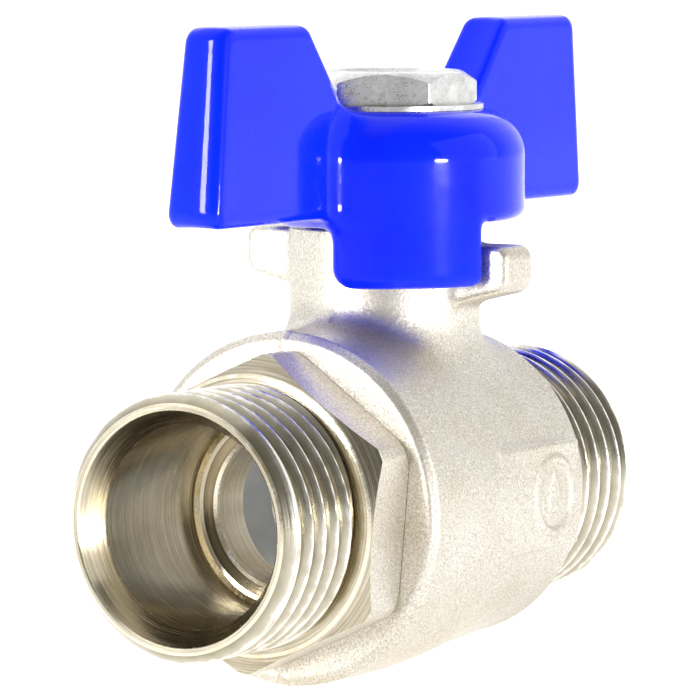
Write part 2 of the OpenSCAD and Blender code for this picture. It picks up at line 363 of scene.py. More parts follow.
def join_smooth(a, b, fillet):
    """The union of two fields, with a fillet of about that radius where they meet."""
    h = np.maximum(fillet - np.abs(a - b), 0) / fillet
    return np.minimum(a, b) - h * h * fillet / 4


def cut_smooth(a, b, fillet):
    """Field a with b taken away, and the edge between them eased."""
    return -join_smooth(-a, b, fillet)


def sample(field, low, high, step, block=4):
    """The field on a grid: exact near the surface, and only its sign elsewhere."""
    count = np.ceil((np.array(high) - low) / (step * block)).astype(int)
    centres = [low[i] + (np.arange(count[i]) + 0.5) * step * block for i in range(3)]
    coarse = field(*np.meshgrid(*centres, indexing="ij"))
    near = np.abs(coarse) < block * step * 1.3
    sign = np.where(coarse < 0, -1.0, 1.0)
    for i in range(3):
        sign = np.repeat(sign, block, axis=i)
    grid = np.ones(count * block + 1)
    grid[:-1, :-1, :-1] = sign
    mask = np.zeros(grid.shape, bool)
    for i in range(block + 1):
        for j in range(block + 1):
            for k in range(block + 1):
                spans = [slice(o, o + (n - 1) * block + 1, block) for o, n in zip((i, j, k), count)]
                mask[tuple(spans)] |= near
    at = np.argwhere(mask)
    grid[mask] = field(*(low + at * step).T)
    return grid


def skin(field, low, high, step):
    """Vertices and four-sided faces of the surface where the field is zero."""
    low = np.array(low, float)
    grid = sample(field, low, high, step)
    inside = grid < 0
    cells = [n - 1 for n in grid.shape]
    corners = [(i, j, k) for i in (0, 1) for j in (0, 1) for k in (0, 1)]
    total = np.zeros(cells, np.int8)
    for c in corners:
        total += inside[tuple(slice(o, o + n) for o, n in zip(c, cells))]
    at = np.argwhere((total > 0) & (total < 8))
    number = np.full(cells, -1)
    number[tuple(at.T)] = np.arange(len(at))
    place, crossings = np.zeros((len(at), 3)), np.zeros(len(at))
    for a in corners:
        for i in range(3):
            if a[i]:
                continue
            b = tuple(c + (k == i) for k, c in enumerate(a))
            da, db = grid[tuple((at + a).T)], grid[tuple((at + b).T)]
            cross = (da < 0) != (db < 0)
            t = np.where(cross, da / np.where(cross, da - db, 1), 0)
            place[cross] += (np.array(a) + t[:, None] * (np.array(b) - a))[cross]
            crossings += cross
    vertices = low + (at + place / crossings[:, None]) * step
    faces = []
    for i in range(3):
        j, k = (i + 1) % 3, (i + 2) % 3
        first, last = [slice(None)] * 3, [slice(None)] * 3
        first[i], last[i] = slice(None, -1), slice(1, None)
        here, there = inside[tuple(first)], inside[tuple(last)]
        for outward in (True, False):
            edge = np.argwhere(here & ~there if outward else ~here & there)
            square = []
            for dj, dk in ((-1, -1), (0, -1), (0, 0), (-1, 0)):
                cell = edge.copy()
                cell[:, j] += dj
                cell[:, k] += dk
                square.append(number[tuple(cell.T)])
            square = np.stack(square, 1)
            faces.append(square if outward else square[:, ::-1])
    for _ in range(3):
        vertices = onto_surface(field, vertices, step)
    return vertices, np.concatenate(faces)


def onto_surface(field, points, step):
    """Moves points along the field's slope to where it is zero."""
    reach = step * 0.25
    value = field(*points.T)
    slope = np.empty_like(points)
    for i in range(3):
        shift = np.zeros(3)
        shift[i] = reach
        slope[:, i] = (field(*(points + shift).T) - field(*(points - shift).T)) / (2 * reach)
    size = np.maximum((slope ** 2).sum(1), 0.25)
    move = np.clip(value / size, -step, step)
    return points - move[:, None] * slope


def round_corner(a, b, radius):
    """The space inside two faces at right angles, with their shared edge rounded."""
    u, v = np.maximum(a + radius, 0), np.maximum(b + radius, 0)
    return np.minimum(np.maximum(a, b), -radius) + np.sqrt(u * u + v * v)


def inset(points, distance):
    """An outline, listed anticlockwise, drawn in by a distance with its corners kept sharp."""
    corners = [np.array(p, float) for p in points]
    inner = []
    for before, here, after in zip(corners[-1:] + corners[:-1], corners, corners[1:] + corners[:1]):
        a = (here - before) / np.linalg.norm(here - before)
        b = (after - here) / np.linalg.norm(after - here)
        left_a, left_b = np.array([-a[1], a[0]]), np.array([-b[1], b[0]])
        inner.append(tuple(here + distance * (left_a + left_b) / (1 + left_a @ left_b)))
    return inner


def direction(azimuth, elevation):
    """A unit vector, with azimuth anticlockwise from +X, in degrees."""
    a, e = math.radians(azimuth), math.radians(elevation)
    return Vector((math.cos(e) * math.cos(a), math.cos(e) * math.sin(a), math.sin(e)))


# ---------------------------------------------------------------- node helpers for materials
class Material:
    """A Principled material, with short calls for the nodes that this scene uses."""

    def __init__(self, name, **values):
        self.material = bpy.data.materials.new(name)
        self.material.use_nodes = True
        self.tree = self.material.node_tree
        self.shader = self.tree.nodes["Principled BSDF"]
        self.place = self.node("ShaderNodeTexCoord").outputs["Object"]
        for key, value in values.items():
            socket = self.shader.inputs[key.replace("_", " ")]
            socket.default_value = (*value, 1) if isinstance(value, tuple) else value

    def node(self, kind, **settings):
        made = self.tree.nodes.new(kind)
        for key, value in settings.items():
            setattr(made, key, value)
        return made

    def link(self, source, target):
        self.tree.links.new(source, target)

    def feed(self, socket, source):
        """Links a source to one of the shader's inputs."""
        self.link(source, self.shader.inputs[socket])

    def noise(self, size_mm, detail=2.0, rough=0.5, place=None):
        """Noise whose features are about that size."""
        made = self.node("ShaderNodeTexNoise")
        made.inputs["Scale"].default_value = 1 / (size_mm * MM)
        made.inputs["Detail"].default_value = detail
        made.inputs["Roughness"].default_value = rough
        self.link(place or self.place, made.inputs["Vector"])
        return made.outputs["Fac"]

    def cells(self, size_mm):
        """Distance to scattered points about that far apart."""
        made = self.node("ShaderNodeTexVoronoi")
        made.inputs["Scale"].default_value = 1 / (size_mm * MM)
        self.link(self.place, made.inputs["Vector"])
        return made.outputs["Distance"]

    def ramp(self, source, stops):
        """A colour for each value of the source."""
        made = self.node("ShaderNodeValToRGB")
        elements = made.color_ramp.elements
        while len(elements) < len(stops):
            elements.new(0.5)
        for element, (at, colour) in zip(elements, stops):
            element.position = at
            element.color = (*colour, 1) if isinstance(colour, tuple) else (colour, colour, colour, 1)
        self.link(source, made.inputs["Fac"])
        return made.outputs["Color"]

    def span(self, source, low, high, to_low, to_high):
        """A source's range turned into another range."""
        made = self.node("ShaderNodeMapRange")
        for key, value in zip(("From Min", "From Max", "To Min", "To Max"), (low, high, to_low, to_high)):
            made.inputs[key].default_value = value
        self.link(source, made.inputs["Value"])
        return made.outputs["Result"]

    def sum(self, a, b, operation="ADD"):
        """Two sources, or a source and a number, put together by a Math node."""
        made = self.node("ShaderNodeMath", operation=operation)
        self.link(a, made.inputs[0])
        if isinstance(b, (int, float)):
            made.inputs[1].default_value = b
        else:
            self.link(b, made.inputs[1])
        return made.outputs["Value"]

    def blend(self, fac, a, b, mode="MIX"):
        """Colour a turned into colour b as fac goes from 0 to 1."""
        made = self.node("ShaderNodeMix", data_type="RGBA", blend_type=mode)
        for source, socket in zip((fac, a, b), (made.inputs[0], made.inputs[6], made.inputs[7])):
            if isinstance(source, tuple):
                socket.default_value = (*source, 1)
            elif isinstance(source, (int, float)):
                socket.default_value = source
            else:
                self.link(source, socket)
        return made.outputs[2]

    def bump(self, layers):
        """Stacks height layers, each (source, height in mm), onto the shader's normal."""
        normal = None
        for source, height in layers:
            made = self.node("ShaderNodeBump")
            made.inputs["Distance"].default_value = height * MM
            self.link(source, made.inputs["Height"])
            if normal:
                self.link(normal, made.inputs["Normal"])
            normal = made.outputs["Normal"]
        self.feed("Normal", normal)

    def axial(self, axis):
        """Distance from the X or Z axis through the origin, and place along it, in metres."""
        split = self.node("ShaderNodeSeparateXYZ")
        self.link(self.place, split.inputs[0])
        along, others = (0, (1, 2)) if axis == "x" else (2, (0, 1))
        squares = [self.sum(split.outputs[i], split.outputs[i], "MULTIPLY") for i in others]
        radius = self.sum(self.sum(*squares), 0.5, "POWER")
        return radius, split.outputs[along]

    def lathe_place(self, axis, stretch=0.02):
        """Coordinates that vary across turning marks and hardly at all along them."""
        radius, along = self.axial(axis)
        split = self.node("ShaderNodeSeparateXYZ")
        self.link(self.place, split.inputs[0])
        third = self.sum(split.outputs[1], stretch, "MULTIPLY")
        made = self.node("ShaderNodeCombineXYZ")
        for source, socket in zip((radius, along, third), made.inputs):
            self.link(source, socket)
        return made.outputs["Vector"]

    def round_tangent(self, axis):
        """Brushed the way a lathe leaves it: marks run round the axis."""
        cross = self.node("ShaderNodeVectorMath", operation="CROSS_PRODUCT")
        cross.inputs[0].default_value = (1, 0, 0) if axis == "x" else (0, 0, 1)
        self.link(self.place, cross.inputs[1])
        self.feed("Tangent", cross.outputs["Vector"])


# ---------------------------------------------------------------- materials
def cast_nickel():
    """Sand-blasted nickel plate: warm, pale, with a fine sparkling grain."""
    m = Material("cast_nickel", Metallic=1.0)
    grain = m.noise(0.16, detail=2.5, rough=0.65)
    swell = m.noise(1.6, detail=3)
    stain = m.noise(5.0, detail=3, rough=0.6)
    tone = m.ramp(grain, [(0.30, (0.50, 0.465, 0.40)), (0.52, (0.73, 0.70, 0.64)),
                          (0.68, (0.93, 0.91, 0.86))])
    warm = m.ramp(stain, [(0.35, (1.0, 0.99, 0.97)), (0.70, (0.93, 0.90, 0.84))])
    m.feed("Base Color", m.blend(1.0, tone, warm, "MULTIPLY"))
    m.feed("Roughness", m.span(grain, 0.3, 0.7, 0.55, 0.34))
    m.bump([(swell, 0.03), (m.noise(0.30, detail=2, rough=0.6), 0.03), (grain, 0.02)])
    return m.material


def turned_nickel():
    """Nickel plate over lathe-turned brass, with fine rings."""
    m = Material("turned_nickel", Metallic=1.0, Anisotropic=0.45)
    place = m.lathe_place("x")
    rings = m.noise(0.09, detail=2, place=place)
    bands = m.noise(0.8, detail=2, place=place)
    haze = m.noise(2.5, detail=4, rough=0.65)
    tone = m.ramp(rings, [(0.3, (0.36, 0.32, 0.23)), (0.7, (0.72, 0.655, 0.52))])
    m.feed("Base Color", m.blend(m.span(haze, 0.4, 0.7, 0.0, 0.45), tone, (0.42, 0.36, 0.25)))
    m.feed("Roughness", m.sum(m.span(rings, 0.3, 0.7, 0.13, 0.25), m.span(bands, 0.3, 0.7, 0.0, 0.06)))
    m.bump([(bands, 0.004), (rings, 0.0035)])
    m.round_tangent("x")
    return m.material


def thread_nickel_painted_shade():
    """The threads: bright crests, and flanks and roots painted darker and warmer by their depth, as painted
    shade.
    """
    m = Material("thread_nickel_painted_shade", Metallic=1.0, Anisotropic=0.3)
    radius = m.axial("x")[0]
    crest = m.span(radius, (THREAD_R - THREAD_DEPTH) * MM, THREAD_R * MM, 0.0, 1.0)
    place = m.lathe_place("x")
    marks = m.noise(0.12, detail=3, place=place)
    haze = m.noise(1.8, detail=3, rough=0.6)
    # Painted shade: the base colour darkens with depth below the crest, so roots and flanks read as shaded
    # grooves.
    depth = m.sum(crest, m.span(haze, 0.3, 0.7, -0.12, 0.12))
    tone = m.ramp(depth, [(0.0, (0.24, 0.21, 0.14)), (0.45, (0.38, 0.345, 0.25)), (0.85, (0.60, 0.555, 0.45)),
                          (0.98, (0.94, 0.91, 0.85))])
    m.feed("Base Color", tone)
    m.feed("Roughness", m.span(marks, 0.3, 0.7, 0.14, 0.30))
    m.bump([(marks, 0.006)])
    m.round_tangent("x")
    return m.material


def edge_brass():
    """Edges where the plate has thinned and the brass shows warm."""
    m = Material("edge_brass", Metallic=1.0)
    worn = m.noise(1.2, detail=4, rough=0.7)
    m.feed("Base Color", m.ramp(worn, [(0.35, (0.86, 0.76, 0.52)), (0.65, (0.92, 0.88, 0.78))]))
    m.feed("Roughness", m.span(worn, 0.3, 0.7, 0.18, 0.32))
    m.bump([(m.noise(0.2), 0.01)])
    return m.material


def blue_enamel():
    """Thick glossy paint, a little uneven, with a few specks of dust under it."""
    m = Material("blue_enamel", Coat_Weight=1.0, Coat_Roughness=0.03, Coat_IOR=1.26)
    m.shader.inputs["Specular IOR Level"].default_value = 0.02
    tone = m.noise(9.0, detail=2)
    m.feed("Base Color", m.ramp(tone, [(0.35, (0.0002, 0.014, 0.94)), (0.65, (0.0006, 0.022, 1.0))]))
    peel = m.noise(1.5, detail=2, rough=0.4)
    m.feed("Roughness", m.span(peel, 0.3, 0.7, 0.22, 0.32))
    speck = m.span(m.cells(1.9), 0.0, 0.07, 1.0, 0.0)
    m.bump([(peel, 0.006), (speck, 0.02)])
    m.link(m.shader.inputs["Normal"].links[0].from_socket, m.shader.inputs["Coat Normal"])
    return m.material


def zinc_steel():
    """Bright zinc plate on a pressed nut, pitted and a little streaked."""
    m = Material("zinc_steel", Metallic=1.0)
    pits = m.span(m.cells(0.42), 0.05, 0.22, 0.0, 1.0)
    cloud = m.noise(1.4, detail=4, rough=0.65)
    tone = m.ramp(cloud, [(0.3, (0.52, 0.52, 0.515)), (0.7, (0.82, 0.82, 0.815))])
    m.feed("Base Color", m.blend(pits, (0.38, 0.38, 0.37), tone))
    m.feed("Roughness", m.span(cloud, 0.3, 0.7, 0.20, 0.38))
    m.bump([(cloud, 0.03), (pits, 0.012), (m.noise(0.15, detail=2), 0.006)])
    return m.material


def seat_plastic():
    """Waxy grey-blue seat plastic with tiny dark specks and faint turning rings."""
    m = Material("seat_plastic")
    m.shader.inputs["Subsurface Weight"].default_value = 0.15
    m.shader.inputs["Subsurface Scale"].default_value = 0.4 * MM
    rings = m.noise(0.15, detail=2, place=m.lathe_place("x"))
    specks = m.span(m.cells(1.1), 0.05, 0.10, 0.0, 1.0)
    tone = m.ramp(m.noise(1.5, detail=3), [(0.3, (0.80, 0.84, 0.92)), (0.7, (0.88, 0.91, 0.96))])
    m.feed("Base Color", m.blend(specks, (0.16, 0.15, 0.14), tone))
    m.feed("Roughness", m.span(rings, 0.3, 0.7, 0.35, 0.5))
    m.bump([(rings, 0.006)])
    return m.material


def pale_plastic():
    """White packing plastic, with faint rings round the stem."""
    m = Material("pale_plastic")
    rings = m.noise(0.2, detail=2, place=m.lathe_place("z"))
    m.feed("Base Color", m.ramp(rings, [(0.3, (0.74, 0.74, 0.72)), (0.7, (0.84, 0.84, 0.82))]))
    m.feed("Roughness", m.span(rings, 0.3, 0.7, 0.4, 0.55))
    m.bump([(rings, 0.006)])
    return m.material


def turned_brass():
    """Bare brass with turning marks round the stem's axis and dull patches."""
    m = Material("turned_brass", Metallic=1.0)
    rings = m.noise(0.10, detail=2, place=m.lathe_place("z"))
    dull = m.noise(2.0, detail=4, rough=0.6)
    tone = m.ramp(rings, [(0.3, (0.66, 0.50, 0.25)), (0.7, (0.86, 0.70, 0.40))])
    m.feed("Base Color", m.blend(m.span(dull, 0.45, 0.7, 0.0, 0.5), tone, (0.42, 0.32, 0.17)))
    m.feed("Roughness", m.span(dull, 0.3, 0.7, 0.18, 0.36))
    m.bump([(rings, 0.006)])
    return m.material


def polished_chrome():
    """Hard chrome on the ball: bright, with hairline marks round the flow axis."""
    m = Material("polished_chrome", Metallic=1.0)
    hair = m.noise(0.06, detail=2, place=m.lathe_place("z"))
    haze = m.noise(3.0, detail=3)
    m.feed("Base Color", m.ramp(haze, [(0.3, (0.72, 0.73, 0.75)), (0.7, (0.84, 0.85, 0.87))]))
    m.feed("Roughness", m.span(hair, 0.3, 0.7, 0.07, 0.16))
    m.bump([(hair, 0.001)])
    return m.material


def black_rubber():
    """Soft black rubber with a dull bloom."""
    m = Material("black_rubber")
    bloom = m.noise(0.8, detail=3)
    m.feed("Base Color", m.ramp(bloom, [(0.3, (0.012, 0.012, 0.013)), (0.7, (0.035, 0.035, 0.037))]))
    m.feed("Roughness", m.span(bloom, 0.3, 0.7, 0.45, 0.65))
    m.bump([(m.noise(0.12), 0.006)])
    return m.material


def floor_painted_glow():
    """A pale paper sweep with the faintest fibre, that glows as painted light: none towards the camera, full
    under and behind the valve, where it washes out the valve's shadow.
    """
    m = Material("paper_painted_glow", Roughness=0.8, Emission_Color=(1.0, 1.0, 1.0))
    fibre = m.noise(40, detail=3)
    m.feed("Base Color", m.ramp(fibre, [(0.3, (0.84, 0.84, 0.84)), (0.7, (0.87, 0.87, 0.87))]))
    along = m.node("ShaderNodeVectorMath", operation="DOT_PRODUCT")
    m.link(m.place, along.inputs[0])
    along.inputs[1].default_value = direction(CAMERA_YAW, 0)
    # Painted glow: emission rises from nothing on the camera's side to full just in front of, under and
    # behind the valve.
    m.feed("Emission Strength", m.span(along.outputs["Value"], -0.16, -0.03, 0.0, 0.6))
    m.bump([(m.noise(0.6, detail=3), 0.02)])
    return m.material


NICKEL = [cast_nickel(), turned_nickel(), thread_nickel_painted_shade(), edge_brass()]
CAST, TURNED, THREAD, EDGE = range(4)
BRASS = turned_brass()
ENAMEL = blue_enamel()
ZINC = zinc_steel()
SEAT_PLASTIC = seat_plastic()
PALE_PLASTIC = pale_plastic()
CHROME = polished_chrome()
RUBBER = black_rubber()


# ---------------------------------------------------------------- the body
ROOT_R = THREAD_R - THREAD_DEPTH
EASE = 0.12
NEAR_THREAD = helix(PITCH, THREAD_R, THREAD_DEPTH, first=INLET + 1.0, offset=0.6)
FAR_THREAD = helix(PITCH, THREAD_R, THREAD_DEPTH, last=OUTLET - 1.0)


def barrel(x, rho):
    """The turned outside of the forging, without its threads."""
    soft = 0.45
    line = [(BODY_BACK, -5), (BODY_BACK, BARREL_R - 1.5), (BODY_BACK - 0.45, BARREL_R - 0.45),
            (BODY_BACK - 1.5, BARREL_R), (8, BARREL_R), (1, BARREL_R + 0.5),
            (-4, COLLAR_R - 0.24), (-8, COLLAR_R), (BODY_FRONT + 0.6, COLLAR_R),
            (BODY_FRONT, COLLAR_R - 0.6), (BODY_FRONT, -5)]
    return outline_distance(x, rho, inset(line, soft)) - soft


def ear(x, y, z, top, near):
    """A stop ear towards +Y, with a sloping underside and rounded edges."""
    soft = 1.1
    low = top - EAR_DEPTH
    line = [(4, low - 1.8), (7.5, low - 1.1), (EAR_REACH - 0.7, low), (EAR_REACH, low + 0.8),
            (EAR_REACH, top), (4, top)]
    flat = outline_distance(y, z, inset(line, soft)) - soft
    return pushed(flat, x - (EAR_FAR_HALF - near) / 2, (EAR_FAR_HALF + near) / 2, 0.6)


def ears(x, y, z):
    """The two stop ears. The one at +Y is thinner, where the tab comes to rest on it."""
    return np.minimum(ear(x, y, z, EAR_TOPS[0], EAR_NEAR_HALVES[0]),
                      ear(x, -y, z, EAR_TOPS[1], EAR_NEAR_HALVES[1]))


def drop(u, v, size):
    """A plain water drop, point up."""
    ball = np.sqrt(u * u + v * v) - size
    lift = v - 0.4 * size
    cone = (np.abs(u) - (2.3 * size - v) * 0.48) * 0.9
    return np.minimum(ball, np.maximum(cone, -lift))


def side_pad(x, y, z):
    """The flat pad on the barrel's side, with a ring and a water drop raised on it."""
    flat = np.maximum(np.abs(x - PAD_X) - PAD_HALF_LENGTH, np.abs(z) - PAD_HALF_HEIGHT)
    pad = pushed(flat, y - PAD_Y, 0.36, 0.3)
    u, v = x - MARK_X, z
    ring = np.abs(np.sqrt(u * u + v * v) - MARK_R) - 0.32
    mark = np.minimum(ring, drop(u, v + 0.35, 1.05))
    raised = pushed(mark, y - MARK_Y, 0.50, 0.2)
    return join_smooth(pad, raised, 0.25)


def forging(x, y, z):
    """The cast outside of the body as one field."""
    rho = np.sqrt(y * y + z * z)
    seam = 0.10 * np.exp(-(y / 0.32) ** 2)
    tube = barrel(x, rho) - seam
    neck = np.maximum(np.sqrt(x * x + y * y) - NECK_R, np.maximum(z - NECK_TOP - 1, -z))
    whole = join_smooth(tube, neck, 2.6)
    whole = join_smooth(whole, ears(x, y, z), 1.3)
    return join_smooth(whole, side_pad(x, y, z), 0.7)


def near_lead(place):
    """The lead chamfer at the inlet face."""
    return min(THREAD_R, THREAD_R - LEAD_DROP * (1 - (place - INLET) / LEAD_LENGTH))


def far_lead(place):
    """The lead chamfer at the outlet face."""
    return min(THREAD_R, THREAD_R - LEAD_DROP * (1 - (OUTLET - place) / LEAD_LENGTH))


def far_tail():
    """The threaded tail at the outlet end."""
    line = Outline(BODY_BACK - 3, 0).to(BODY_BACK - 3, ROOT_R, TURNED).to(BODY_BACK + 0.9, ROOT_R, TURNED)
    line.threaded(BODY_BACK + 1.5, OUTLET - EASE, far_lead, FAR_THREAD, THREAD)
    line.to(OUTLET, far_lead(OUTLET) - EASE, EDGE).to(OUTLET, 0, TURNED)
    return turned("far_tail", line, NICKEL)


def body_bore():
    """What is bored out of the body: joint, chamber, seat pocket, waterway and port."""
    line = Outline(BODY_FRONT - 3, 0).to(BODY_FRONT - 3, JOINT_R + 0.2, TURNED)
    line.to(BODY_FRONT, JOINT_R + 0.2, TURNED).to(BODY_FRONT + 0.2, JOINT_R, EDGE)
    line.to(-CHAMBER_HALF, JOINT_R, TURNED).to(-CHAMBER_HALF, CHAMBER_R, TURNED)
    line.to(CHAMBER_HALF, CHAMBER_R, TURNED).to(CHAMBER_HALF, SEAT_R + 0.05, TURNED)
    line.to(OUTLET_SEAT_BACK, SEAT_R + 0.05, TURNED).to(OUTLET_SEAT_BACK, WATERWAY_R, TURNED)
    line.to(OUTLET_STEP, WATERWAY_R, TURNED).to(OUTLET_STEP, STEP_R, TURNED)
    line.to(OUTLET_STEP + 0.5, PORT_R, EDGE)
    line.to(OUTLET - COUNTERSINK_LENGTH, PORT_R, TURNED)
    line.to(OUTLET - EASE, COUNTERSINK_R - 0.05, TURNED).to(OUTLET, COUNTERSINK_R + 0.05, EDGE)
    line.to(OUTLET + 1, COUNTERSINK_R + 0.05, TURNED).to(OUTLET + 1, 0, TURNED)
    return turned("body_bore", line, NICKEL)


def neck_bore():
    """What is bored down the neck, with the plane of its rim."""
    line = Outline(6, 0).to(6, 5.9, TURNED).to(13.2, 5.9, TURNED).to(13.2, STEM_HOLE_R, TURNED)
    line.to(16.8, STEM_HOLE_R, TURNED).to(16.8, 6.0, TURNED)
    thread = helix(1.0, GLAND_THREAD_R, 0.2)
    line.threaded(16.9, NECK_TOP - 0.8, lambda place: GLAND_THREAD_R, thread, TURNED)
    line.to(NECK_TOP - 0.7, 6.05, TURNED).to(NECK_TOP, 6.7, EDGE).to(NECK_TOP, 9.5, TURNED)
    line.to(NECK_TOP + 3, 9.5, TURNED).to(NECK_TOP + 3, 0, TURNED)
    return turned("neck_bore", line, NICKEL, axis="z")


def make_body():
    """Forging, threaded tail and bores, as one solid."""
    step = 0.17
    low = [BODY_FRONT - 1.2, -COLLAR_R - 0.6, -COLLAR_R - 0.8]
    high = [BODY_BACK + 0.6, COLLAR_R + 0.6, NECK_TOP + 1.6]
    vertices, faces = skin(forging, low, high, step)
    body = new_object("body_forging", vertices, faces.tolist(), NICKEL)
    combine(body, far_tail(), "UNION")
    combine(body, body_bore(), "DIFFERENCE")
    combine(body, neck_bore(), "DIFFERENCE")
    return smooth(body, 40)


# ---------------------------------------------------------------- the end connector
def connector_core():
    """Near thread, undercut and the spigot that screws into the body."""
    inside_hex = -18.0
    line = Outline(INLET, 0).to(INLET, near_lead(INLET) - EASE, TURNED)
    line.to(INLET + EASE, near_lead(INLET + EASE), EDGE)
    line.threaded(INLET + EASE, NEAR_THREAD_END, near_lead, NEAR_THREAD, THREAD)
    line.to(NEAR_THREAD_END + 0.15, ROOT_R, TURNED).to(inside_hex, ROOT_R, TURNED)
    line.to(inside_hex, RELIEF_R, TURNED).to(RELIEF_END, RELIEF_R, TURNED)
    line.to(SPIGOT_START, SPIGOT_R, TURNED).to(SPIGOT_END - 0.4, SPIGOT_R, TURNED)
    line.to(SPIGOT_END, SPIGOT_R - 0.4, TURNED)
    line.to(SPIGOT_END, 0, TURNED)
    return turned("connector_turned", line, NICKEL)


def hexagon_corners(radius, turn=0.0):
    """The six corners of a hexagon, at that distance from its middle."""
    return [(radius * math.cos(a), radius * math.sin(a)) for a in np.arange(6) * math.pi / 3 + turn]


def hexagon_block():
    """The hexagon, with rounded corners and turned chamfers."""
    radius = HEX_AF / math.sqrt(3)
    spare = 0.5
    back = BODY_FRONT - 0.05
    depth = spare + back - HEX_FRONT
    # the outline's own X and Y become -Z and Y, and its depth runs along X
    turn = Matrix(((0, 0, 1), (0, 1, 0), (-1, 0, 0)))
    block = prism("hexagon", rounded_polygon(hexagon_corners(radius, HEX_TURN), 1.0), depth, NICKEL,
                  (HEX_FRONT - spare, 0, 0), turn, CAST)
    line = Outline(HEX_FRONT, 0).to(HEX_FRONT, 10.9, TURNED).to(HEX_FRONT + 0.15, 11.2, EDGE)
    line.to(HEX_FRONT + 0.95, radius - 0.3, TURNED).to(HEX_FRONT + 1.1, radius - 0.22, CAST)
    line.to(back - 0.5, radius - 0.22, CAST).to(back, radius - 0.7, CAST).to(back, 0, TURNED)
    return combine(block, turned("hexagon_chamfers", line, NICKEL), "INTERSECT")


def connector_bore():
    """What is bored out of the connector: countersink, port, step, waterway and seat pocket."""
    line = Outline(INLET - 1, 0).to(INLET - 1, COUNTERSINK_R + 0.1, TURNED)
    line.to(INLET, COUNTERSINK_R + 0.1, TURNED).to(INLET + EASE, COUNTERSINK_R - 0.06, EDGE)
    line.to(INLET + COUNTERSINK_LENGTH, PORT_R + 0.03, TURNED)
    line.to(INLET + COUNTERSINK_LENGTH + 0.12, PORT_R, EDGE)
    line.to(INLET_STEP - 0.6, PORT_R, TURNED).to(INLET_STEP - 0.25, STEP_R + 0.3, EDGE)
    line.to(INLET_STEP - 0.15, STEP_R, TURNED).to(INLET_STEP, STEP_R, TURNED)
    line.to(INLET_STEP, WATERWAY_R + 0.35, TURNED).to(INLET_STEP + 0.15, WATERWAY_R + 0.08, EDGE)
    line.to(INLET_STEP + 0.4, WATERWAY_R, EDGE).to(-INLET_SEAT_BACK, WATERWAY_R, TURNED)
    line.to(-INLET_SEAT_BACK, SEAT_R + 0.05, TURNED).to(SPIGOT_END + 1, SEAT_R + 0.05, TURNED)
    line.to(SPIGOT_END + 1, 0, TURNED)
    return turned("connector_bore", line, NICKEL)


def make_connector():
    """Thread, hexagon and spigot, bored out, as one solid."""
    connector = hexagon_block()
    connector.name = "connector_hexagon"
    combine(connector, connector_core(), "UNION")
    combine(connector, connector_bore(), "DIFFERENCE")
    return smooth(connector, 28)


# ---------------------------------------------------------------- ball, seats and stem
def make_ball():
    """A bored ball with eased edges and a slot for the stem's tang."""
    mouth = BALL_BORE_R + 0.35
    edge = math.degrees(math.asin(mouth / BALL_R))
    end = math.sqrt(BALL_R ** 2 - mouth ** 2) - 0.3
    line = Outline(-end, BALL_BORE_R).arc(0, 0, BALL_R, 180 - edge, edge, steps=64).to(end, BALL_BORE_R)
    ball = turned("bored_ball", line, [CHROME], ring=True)
    box = [(-BALL_SLOT_HALF, -BALL_R), (BALL_SLOT_HALF, -BALL_R),
           (BALL_SLOT_HALF, BALL_R), (-BALL_SLOT_HALF, BALL_R)]
    slot = prism("slot", box, 6, [CHROME], (0, 0, BALL_SLOT_FLOOR))
    return smooth(combine(ball, slot, "DIFFERENCE"), 30)


def make_seat(name, back, side):
    """A seat ring, dished to the ball, on the side that side gives."""
    reach = BALL_R + 0.06
    inner = math.sqrt(reach ** 2 - SEAT_BORE_R ** 2)
    lip = math.degrees(math.asin(SEAT_BORE_R / reach))
    brim = math.degrees(math.acos(SEAT_FRONT / reach))
    line = Outline(back - 1.2, SEAT_BORE_R).to(back, WATERWAY_R).to(back, SEAT_R - 0.1)
    line.to(back - 0.1, SEAT_R).to(SEAT_FRONT, SEAT_R).arc(0, 0, reach, brim, lip, steps=24)
    line.to(inner + 0.02, SEAT_BORE_R)
    line.points = [(side * place, radius, None) for place, radius, _ in line.points]
    return smooth(turned(name, line, [SEAT_PLASTIC], ring=True), 30)


def flats_cutter(name, half, low, high, side):
    """A block that cuts one of two parallel flats on the stem's top."""
    box = [(-9, half), (9, half), (9, 9), (-9, 9)]
    return prism(name, [(u, v * side) for u, v in box][::side], high - low, [BRASS], (0, 0, low))


def make_stem():
    """Tang, flange, grooved shaft, driving flats and threaded top."""
    line = Outline(FLANGE_LOW, 0).to(FLANGE_LOW, FLANGE_R - 0.2).to(FLANGE_LOW + 0.2, FLANGE_R)
    line.to(FLANGE_HIGH - 0.2, FLANGE_R).to(FLANGE_HIGH, FLANGE_R - 0.2).to(FLANGE_HIGH, STEM_R)
    line.to(GROOVE_LOW, STEM_R).to(GROOVE_LOW, GROOVE_R).to(GROOVE_HIGH, GROOVE_R).to(GROOVE_HIGH, STEM_R)
    line.to(FLATS_LOW - 0.1, STEM_R).to(FLATS_LOW, STEM_R - 0.1).to(FLATS_LOW + 0.1, STEM_R)
    line.to(HUB_TOP - 0.4, STEM_R).to(HUB_TOP, STEM_THREAD_R)
    tip_r = STEM_THREAD_R - 0.6
    line.threaded(HUB_TOP, STEM_TOP - 0.1, lambda place: min(STEM_THREAD_R, tip_r + (STEM_TOP - place)),
                  helix(1.0, STEM_THREAD_R, 0.6), step=0.06)
    line.to(STEM_TOP, tip_r).to(STEM_TOP, 0)
    stem = turned("stem_shaft", line, [BRASS], axis="z", segments=128)
    tang = rounded_polygon([(-1.69, -4), (1.69, -4), (1.69, 4), (-1.69, 4)], 0.25)
    combine(stem, prism("tang", tang, 3.6, [BRASS], (0, 0, 7.0)), "UNION")
    for side in (1, -1):
        combine(stem, flats_cutter("flat", FLAT_HALF, FLATS_LOW, STEM_TOP + 1, side), "DIFFERENCE")
    return smooth(stem, 30)


